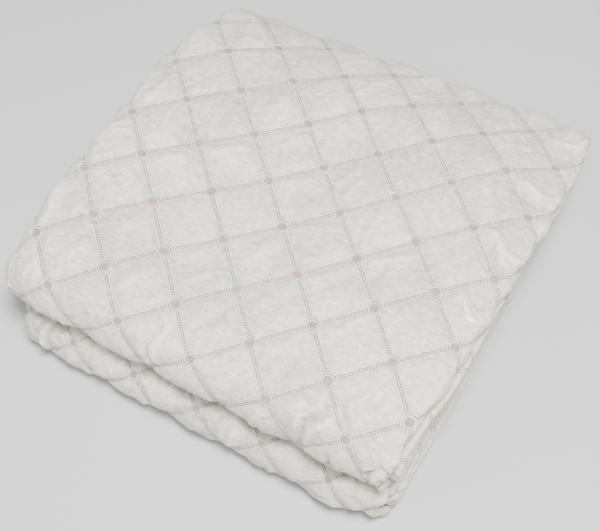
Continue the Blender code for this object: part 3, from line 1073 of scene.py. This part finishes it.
class QuiltPatterns:
    """The groups that turn the cloth's own coordinates into seams, motifs and weave."""

    def __init__(self, quilting: Quilting, finish: ClothFinish) -> None:
        """Builds each group once."""
        self.quilting = quilting
        self.finish = finish
        self.lattice = self.make_lattice()
        self.ladder = self.make_ladder()
        self.motif = self.make_motif()
        self.weave = self.make_weave()
        self.crumple = self.make_crumple()

    def make_lattice(self) -> bpy.types.NodeTree:
        """Distances in millimetres from the nearest seam of each direction and crossing.

        With a = (u + v) / 2 and b = (u - v) / 2, seams are where a or b is a whole number.
        """
        names = ("Across A", "Along A", "Across B", "Along B", "Local U", "Local V", "Cell")
        group, g, inputs, result = new_group(
            "Quilt lattice", {"Cloth": VECTOR}, {n: VALUE for n in names})
        side = self.quilting.cell_side * 1000
        half = self.quilting.half_diagonal * 1000
        u, v, _ = g.split(inputs["Cloth"])
        a = g.math("MULTIPLY", g.math("ADD", u, v), 0.5)
        b = g.math("MULTIPLY", g.math("SUBTRACT", u, v), 0.5)
        off = [g.math("SUBTRACT", c, g.math("ROUND", c)) for c in (a, b)]
        made = {
            "Across A": g.math("MULTIPLY", off[0], side),
            "Along A": g.math("MULTIPLY", b, side),
            "Across B": g.math("MULTIPLY", off[1], side),
            "Along B": g.math("MULTIPLY", a, side),
            "Local U": g.math("MULTIPLY", g.math("ADD", off[0], off[1]), half),
            "Local V": g.math("MULTIPLY", g.math("SUBTRACT", off[0], off[1]), half),
            "Cell": g.math("ADD", g.math("MULTIPLY", g.math("FLOOR", a), 7.3),
                           g.math("MULTIPLY", g.math("FLOOR", b), 3.1)),
        }
        for name, socket in made.items():
            g.feed(result.inputs[name], socket)
        return group

    def make_ladder(self) -> bpy.types.NodeTree:
        """A ladder seam: two rails of light stitches with staggered holes between them, and a band of
        painted shade along its groove.
        """
        group, g, inputs, result = new_group(
            "Ladder seam", {"Across": VALUE, "Along": VALUE},
            {"Light": VALUE, "Hole": VALUE, "Groove Shade": VALUE})
        finish = self.finish
        away = g.math("ABSOLUTE", inputs["Across"])
        step = g.math("MULTIPLY", g.math("SIGN", inputs["Across"]), 0.22)
        turn = g.math("ADD", g.math("DIVIDE", inputs["Along"], finish.rung_pitch), step)
        wave = g.math("COSINE", g.math("MULTIPLY", turn, 2 * math.pi))
        rail = g.ease(g.math("ABSOLUTE", g.math("SUBTRACT", away, finish.rail_at)), 0.85, 0.25)
        light = g.math("MULTIPLY", rail, g.math("MULTIPLY_ADD", wave, 0.35, 0.65))
        spine = g.ease(away, 0.45, 0.05)
        light = g.math("MAXIMUM", light, g.math("MULTIPLY", spine, 0.55))
        spot = g.ease(g.math("ABSOLUTE", g.math("SUBTRACT", away, finish.hole_at)), 0.80, 0.35)
        hole = g.math("MULTIPLY", spot, g.ease(wave, 0.55, -0.35))
        g.feed(result.inputs["Light"], light)
        g.feed(result.inputs["Hole"], hole)
        # The seam's groove, where the material paints shade.
        g.feed(result.inputs["Groove Shade"], g.ease(away, finish.groove_shade_half + 0.5, finish.groove_shade_half - 0.6))
        return group

    def make_motif(self) -> bpy.types.NodeTree:
        """The small six-sided motif at a crossing, filled with fine threads and framed."""
        group, g, inputs, result = new_group(
            "Crossing motif", {"Local U": VALUE, "Local V": VALUE},
            {"Fill": VALUE, "Thread": VALUE, "Rim": VALUE, "Gap": VALUE, "Inside": VALUE})
        finish = self.finish
        du = g.math("ABSOLUTE", inputs["Local U"])
        dv = g.math("ABSOLUTE", inputs["Local V"])
        slant = g.math("MULTIPLY_ADD", dv, 0.32, du)
        reach = g.math("MAXIMUM", g.math("DIVIDE", dv, finish.motif_half_height),
                       g.math("DIVIDE", slant, finish.motif_half_width))
        fill = g.ease(reach, 0.80, 0.70)
        thread = g.math("MULTIPLY_ADD", g.math("COSINE", g.math(
            "MULTIPLY", inputs["Local V"], 2 * math.pi / finish.motif_thread)), 0.5, 0.5)
        rim = None
        for at, width in ((0.84, 0.10), (1.18, 0.10)):
            line = g.ease(g.math("ABSOLUTE", g.math("SUBTRACT", reach, at)), width, width * 0.5)
            rim = line if rim is None else g.math("MAXIMUM", rim, line)
        level = g.ease(g.math("DIVIDE", dv, finish.motif_half_height), 0.30, 0.60)
        rim = g.math("MULTIPLY", rim, level)
        gap = g.ease(g.math("ABSOLUTE", g.math("SUBTRACT", reach, 1.01)), 0.11, 0.05)
        edge = g.ease(g.math("ABSOLUTE", g.math("SUBTRACT", reach, 1.34)), 0.08, 0.03)
        gap = g.math("MULTIPLY", g.math("MAXIMUM", gap, g.math("MULTIPLY", edge, 0.55)), level)
        for name, socket in (
            ("Fill", fill), ("Thread", thread), ("Rim", rim), ("Gap", gap),
            ("Inside", g.ease(reach, 1.32, 1.22)),
        ):
            g.feed(result.inputs[name], socket)
        return group

    def make_weave(self) -> bpy.types.NodeTree:
        """Slub streaks: noise stretched along the cloth, and again across it."""
        group, g, inputs, result = new_group(
            "Slub weave", {"Cloth": VECTOR},
            {"Streak": VALUE, "Fleck": VALUE, "Cloud": VALUE, "Mottle": VALUE})
        u, v, side = g.split(inputs["Cloth"])
        mm = self.quilting.half_diagonal * 1000
        across = g.vector(g.math("MULTIPLY", u, 0.08 * mm), g.math("MULTIPLY", v, 0.6 * mm), side)
        along = g.vector(g.math("MULTIPLY", u, 0.7 * mm), g.math("MULTIPLY", v, 0.06 * mm), side)
        weft, warp = g.noise(across, 1.0, 3.0), g.noise(along, 1.0, 3.0)
        g.feed(result.inputs["Streak"], g.math("ADD", g.math("MULTIPLY", weft, 0.7),
                                               g.math("MULTIPLY", warp, 0.3)))
        g.feed(result.inputs["Fleck"], g.math("MULTIPLY", weft, warp))
        place = g.vector(u, v, side)
        g.feed(result.inputs["Cloud"], g.noise(place, 0.40, 1.0))
        g.feed(result.inputs["Mottle"], g.noise(place, mm / self.finish.mottle_pitch, 4.0))
        return group


    def make_crumple(self) -> bpy.types.NodeTree:
        """Short sharp wrinkles: the middle lines of stretched noise, in two directions."""
        group, g, inputs, result = new_group("Crumple", {"Cloth": VECTOR}, {"Height": VALUE})
        u, v, side = g.split(inputs["Cloth"])
        total = 0.0
        for turn, lag in ((0.55, 3.0), (-0.75, 17.0)):
            along = g.math("MULTIPLY_ADD", v, math.sin(turn), g.math("MULTIPLY", u, math.cos(turn)))
            across = g.math("MULTIPLY_ADD", v, math.cos(turn), g.math("MULTIPLY", u, -math.sin(turn)))
            place = g.vector(along, g.math("MULTIPLY", across, 3.2), g.math("ADD", side, lag))
            vein = g.noise(place, 0.9, 0.6)
            line = g.ease(g.math("ABSOLUTE", g.math("SUBTRACT", vein, 0.5)), 0.11, 0.0)
            patch = g.noise(g.vector(u, v, g.math("ADD", side, lag + 5.0)), 1.1, 0.5)
            total = g.math("MULTIPLY_ADD", line, g.ease(patch, 0.55, 0.68), total)
        g.feed(result.inputs["Height"], total)
        return group


@dataclass
class QuiltedCloth:
    """The cloth's material: ivory slub ground, ladder seams and beige motifs, with painted shade in seam
    grooves, sinks and creases and painted highlights on ridges.
    """

    patterns: QuiltPatterns
    finish: ClothFinish = ClothFinish()

    def attribute(self, g: Graph, name: str) -> bpy.types.NodeSocket:
        """Reads a vector that the mesh carries on its points."""
        return g.node("ShaderNodeAttribute", attribute_name=name).outputs["Vector"]

    def build(self) -> bpy.types.Material:
        """Builds the material, colours first and then height and roughness."""
        finish = self.finish
        material = bpy.data.materials.new("quilted_cloth")
        material.use_nodes = True
        g = Graph(material.node_tree)
        shader = material.node_tree.nodes["Principled BSDF"]
        cloth, lie = self.attribute(g, "cloth"), self.attribute(g, "lie")
        side = g.split(cloth)[2]
        sunk, rim, crease_shading = g.split(lie)
        lattice = g.use(self.patterns.lattice, Cloth=cloth)
        weave = g.use(self.patterns.weave, Cloth=cloth)
        motif = g.use(self.patterns.motif, Local_U=lattice["Local U"], Local_V=lattice["Local V"])
        seams = [
            g.use(self.patterns.ladder, Across=lattice["Across " + k], Along=lattice["Along " + k])
            for k in ("A", "B")
        ]
        face = g.math("SUBTRACT", 1.0, side)
        outside = g.math("MULTIPLY", g.math("SUBTRACT", 1.0, motif["Inside"]), face)
        light, hole, band = (
            g.math("MULTIPLY", g.math("MAXIMUM", seams[0][k], seams[1][k]), outside)
            for k in ("Light", "Hole", "Groove Shade")
        )
        on_motif = g.math("MULTIPLY", motif["Fill"], face)
        rims = g.math("MULTIPLY", motif["Rim"], face)
        gaps = g.math("MULTIPLY", motif["Gap"], face)

        streak = g.math("MULTIPLY_ADD", weave["Streak"], 1.45, 0.275)
        streak = g.math("MULTIPLY", streak, g.math("MULTIPLY_ADD", weave["Mottle"], 0.70, 0.65))
        ground = g.mix(side, finish.ground, finish.backing)
        ground = g.mix(g.ease(weave["Cloud"], 0.35, 0.75), ground, g.mix(0.60, ground, finish.shade))
        # Painted shade: the face darkens where it sinks between the puffs and into creases.
        ground = g.mix(g.math("MULTIPLY", g.ease(sunk, 0.55, 1.0), 0.35), ground, finish.shade)
        # Painted shade in crease troughs, a painted highlight on wrinkle ridges, and the deepest creases
        # painted darkest with the hole colour.
        ground = g.mix(g.math("MULTIPLY", g.ease(crease_shading, 0.05, 1.1), 0.75), ground, finish.shade)
        ground = g.mix(g.math("MULTIPLY", g.ease(crease_shading, -0.05, -1.1), 0.32), ground, finish.thread)
        ground = g.mix(g.math("MULTIPLY", g.ease(crease_shading, 1.2, 2.0), 0.60), ground, finish.hole)
        # Painted shade in a band along each seam's groove.
        colour = g.mix(g.math("MULTIPLY", band, 0.50), ground, finish.shade)
        worn = g.math("MULTIPLY_ADD", weave["Fleck"], 1.2, 0.50, clamp=True)
        colour = g.mix(g.math("MULTIPLY", hole, worn), colour, finish.hole)
        colour = g.mix(g.math("MULTIPLY", light, 0.80), colour, finish.thread)
        beige = g.mix(g.ease(weave["Cloud"], 0.45, 0.6), finish.motif, finish.motif_pink)
        beige = g.mix(g.math("MULTIPLY", motif["Thread"], 0.50), beige, finish.ground)
        colour = g.mix(g.math("MULTIPLY", on_motif, 0.90), colour, beige)
        colour = g.mix(g.math("MULTIPLY", gaps, 0.90), colour, finish.hole)
        colour = g.mix(g.math("MULTIPLY", rims, 0.90), colour, finish.thread)
        scaled = g.node("ShaderNodeVectorMath", operation="SCALE")
        g.feed(scaled.inputs[0], colour)
        g.feed(scaled.inputs["Scale"], streak)
        g.feed(shader.inputs["Base Color"], scaled.outputs[0])

        stitched = g.math("MAXIMUM", light, rims)
        rough = g.math("MULTIPLY_ADD", weave["Streak"], 0.16, finish.roughness - 0.08)
        rough = g.math("MULTIPLY_ADD", stitched, finish.thread_roughness - finish.roughness, rough)
        g.feed(shader.inputs["Roughness"], rough)

        crumple = g.use(self.patterns.crumple, Cloth=cloth)["Height"]
        height = g.math("MULTIPLY_ADD", crumple, 0.75, g.math("MULTIPLY", weave["Streak"], 0.30))
        height = g.math("MULTIPLY_ADD", light, 0.35, height)
        height = g.math("MULTIPLY_ADD", hole, -0.55, height)
        height = g.math("MULTIPLY_ADD", rims, 0.40, height)
        height = g.math("MULTIPLY_ADD", g.math("MULTIPLY", on_motif, motif["Thread"]), 0.25, height)
        hem = g.ease(g.math("ABSOLUTE", g.math("SUBTRACT", rim, 11.5)), 0.7, 0.1)
        height = g.math("MULTIPLY_ADD", hem, -0.35, height)
        bump = g.node("ShaderNodeBump")
        g.feed(bump.inputs["Strength"], 1.0)
        g.feed(bump.inputs["Distance"], 0.001)
        g.feed(bump.inputs["Height"], height)
        g.feed(shader.inputs["Normal"], bump.outputs[0])
        shader.inputs["Metallic"].default_value = 0.0
        shader.inputs["Specular IOR Level"].default_value = 0.35
        shader.inputs["Sheen Weight"].default_value = finish.sheen
        shader.inputs["Sheen Roughness"].default_value = 0.45
        return material


@dataclass(frozen=True)
class SoftLight:
    """A soft box over the floor: where it hangs, where it points, its side and its power."""

    name: str
    place: tuple[float, float, float]
    aim: tuple[float, float, float]
    side: float
    power: float
    tint: tuple[float, float, float] = (1.0, 1.0, 1.0)


LIGHTS = (
    SoftLight("key_box", (0.45, -0.40, 1.95), (0.0, -0.1, 0.08), 0.6, 108.0, (1.0, 0.995, 0.985)),
    SoftLight("front_box", (-1.0, -1.7, 1.6), (0.0, -0.1, 0.08), 0.9, 18.0, (0.99, 0.995, 1.0)),
)


@dataclass
class Studio:
    """The pale floor, the soft lights and the camera at the photograph's own angle."""

    unit: float = 0.045
    floor_half: float = 6.0
    floor_colour: tuple[float, float, float] = (0.54, 0.54, 0.543)
    world: tuple[float, float, float] = (0.93, 0.94, 0.96)
    world_power: float = 0.55
    lens_mm: float = 62.6
    sensor_mm: float = 36.0
    eye_u: float = 13.444
    eye_v: float = -15.994
    eye_above_top: float = 20.447
    seam_level: float = 0.0055
    azimuth: float = 30.17
    elevation: float = 57.74
    roll: float = -0.47

    def make_floor(self) -> bpy.types.Object:
        """A large level sheet just under the cloth, in plain pale grey."""
        h = self.floor_half
        mesh = bpy.data.meshes.new("floor")
        mesh.from_pydata([(-h, -h, 0), (h, -h, 0), (h, h, 0), (-h, h, 0)], [], [(0, 1, 2, 3)])
        floor = bpy.data.objects.new("floor", mesh)
        bpy.context.scene.collection.objects.link(floor)
        material = bpy.data.materials.new("pale_floor")
        material.use_nodes = True
        g = Graph(material.node_tree)
        shader = material.node_tree.nodes["Principled BSDF"]
        place = g.node("ShaderNodeTexCoord").outputs["Object"]
        cloud = g.noise(place, 1.3, 2.0)
        darker = tuple(c * 0.96 for c in self.floor_colour)
        g.feed(shader.inputs["Base Color"], g.mix(cloud, self.floor_colour, darker))
        shader.inputs["Roughness"].default_value = 0.75
        shader.inputs["Specular IOR Level"].default_value = 0.2
        mesh.materials.append(material)
        return floor

    def light(self) -> None:
        """Hangs the soft boxes and sets the room's even light."""
        scene = bpy.context.scene
        for box in LIGHTS:
            data = bpy.data.lights.new(box.name, "AREA")
            data.shape = "SQUARE"
            data.size = box.side
            data.energy = box.power
            data.color = box.tint
            lamp = bpy.data.objects.new(box.name, data)
            toward = np.array(box.aim) - np.array(box.place)
            lamp.matrix_world = self.turned(toward, box.place, 0.0)
            scene.collection.objects.link(lamp)
        world = bpy.data.worlds.new("room")
        world.use_nodes = True
        background = world.node_tree.nodes["Background"]
        background.inputs["Color"].default_value = (*self.world, 1.0)
        background.inputs["Strength"].default_value = self.world_power
        scene.world = world

    @staticmethod
    def turned(toward: Array, place: tuple[float, ...], roll: float) -> Matrix:
        """A placing that looks along toward, upright but for the roll in radians."""
        ahead = toward / np.linalg.norm(toward)
        right = np.cross(ahead, (0.0, 0.0, 1.0))
        right /= np.linalg.norm(right)
        up = np.cross(right, ahead)
        turned_right = right * math.cos(roll) + up * math.sin(roll)
        turned_up = up * math.cos(roll) - right * math.sin(roll)
        matrix = np.eye(4)
        matrix[:3, 0], matrix[:3, 1], matrix[:3, 2] = turned_right, turned_up, -ahead
        matrix[:3, 3] = place
        return Matrix(matrix.tolist())

    def aim_camera(self, bundle: Bundle) -> None:
        """Stands the camera where the photograph was taken from."""
        data = bpy.data.cameras.new("camera")
        data.sensor_width = self.sensor_mm
        data.lens = self.lens_mm
        data.clip_end = 50.0
        camera = bpy.data.objects.new("camera", data)
        place = (
            (self.eye_u - bundle.middle_u) * self.unit - bundle.settling.middle_x,
            self.eye_v * self.unit - bundle.settling.middle_y,
            bundle.section.height + self.eye_above_top * self.unit - self.seam_level,
        )
        az, el = math.radians(self.azimuth), math.radians(self.elevation)
        toward = -np.array([math.sin(az) * math.cos(el), -math.cos(az) * math.cos(el), math.sin(el)])
        camera.matrix_world = self.turned(toward, place, math.radians(self.roll))
        bpy.context.scene.collection.objects.link(camera)
        bpy.context.scene.camera = camera


def main() -> None:
    """Builds the cloth, dresses it and sets the studio."""
    logging.basicConfig(level=logging.INFO)
    cut = ClothCut()
    patterns = QuiltPatterns(cut.bundle.quilting, ClothFinish())
    material = QuiltedCloth(patterns).build()
    strips = (cut.face_strip(), cut.inner_strip(), cut.under_strip())
    piece = sewn("bedspread_cloth", [strip.shell() for strip in strips])
    piece.data.materials.append(material)
    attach(piece, "root")
    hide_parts("bedspread")
    width, length = cut.flat_size()
    LOG.info("flat cloth: %.3f x %.3f m", width, length)
    studio = Studio()
    studio.make_floor()
    studio.light()
    studio.aim_camera(cut.bundle)


if __name__ == "__main__":
    main()
